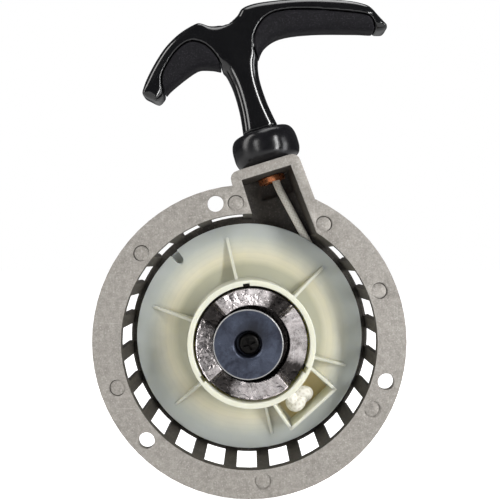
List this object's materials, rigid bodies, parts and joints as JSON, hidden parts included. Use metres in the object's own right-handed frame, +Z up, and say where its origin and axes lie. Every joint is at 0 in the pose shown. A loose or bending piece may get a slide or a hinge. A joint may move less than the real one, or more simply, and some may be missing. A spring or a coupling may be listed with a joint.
{
  "type": "recoil starter",
  "caption": "Recoil starter of a small two-stroke engine: vented cast housing, rope pulley, toothed claw and a T pull handle on a rope.",
  "frame": {"origin": "where the crank axis meets the flange's mounting face", "axes": "-Y out of the mounting face, towards the engine; +Z up, towards the handle; the pull line leans 17.2 degrees from +Z towards -X"},
  "size_m": [0.1338, 0.0489, 0.2217],
  "materials": {
    "cast_aluminium": "cast and bead-blasted",
    "copper": "bright pressed copper",
    "natural_nylon": "translucent, satin",
    "rope_fibre": "braided",
    "spring_steel": "oiled",
    "cast_steel": "rough cast, worn bright",
    "blued_steel": "dark blued",
    "zinc_steel": "zinc plated",
    "gloss_black": "high gloss",
    "soft_black": "fine matt grain",
    "black_rubber": "satin"
  },
  "bodies": {
    "housing": {"housing": "cast_aluminium", "rope_eyelet": "copper", "recoil_spring": "spring_steel", "centre_screw": "blued_steel", "lock_washer": "blued_steel", "cap_disc": "blued_steel", "spacer_sleeve": "zinc_steel", "thrust_washer": "zinc_steel", "rope_lead": "rope_fibre"},
    "pulley": {"pulley": "natural_nylon", "rope_wound": "rope_fibre", "rope_knot": "rope_fibre"},
    "claw": {"ratchet_claw": "cast_steel", "claw_spring": "spring_steel", "drag_spring": "spring_steel"},
    "rope_end": {"rope_stem": "rope_fibre", "handle_knot": "rope_fibre", "knot_washer": "zinc_steel"},
    "handle": {"handle_body": "gloss_black", "handle_grip_left": "soft_black", "handle_grip_right": "soft_black", "handle_collar": "black_rubber"}
  },
  "joints": [
    {"name": "handle_pull", "type": "slide", "parent": "housing", "child": "rope_end", "axis": [-0.2957, 0, 0.9553], "range_m": [0, 0.64]},
    {"name": "pulley_spin", "type": "hinge", "parent": "housing", "child": "pulley", "pos_m": [0, 0, 0], "axis": [0, -1, 0], "range_deg": [0, 930], "stiffness_Nm_per_rad": 0.035, "springref_deg": -286.48, "deforming": ["recoil_spring"]},
    {"name": "claw_advance", "type": "slide", "parent": "pulley", "child": "claw", "axis": [0, -1, 0], "range_m": [0, 0.005], "stiffness_N_per_m": 60, "springref_m": -0.005, "deforming": ["claw_spring"]},
    {"name": "handle_twist", "type": "hinge", "parent": "rope_end", "child": "handle", "pos_m": [0.00453, 0.024, 0.09562], "axis": [-0.2957, 0, 0.9553], "range_deg": [-60, 60]}
  ],
  "couplings": [
    {"joint": "pulley_spin", "follows": "handle_pull", "rad_per_m": 25.2}
  ]
}
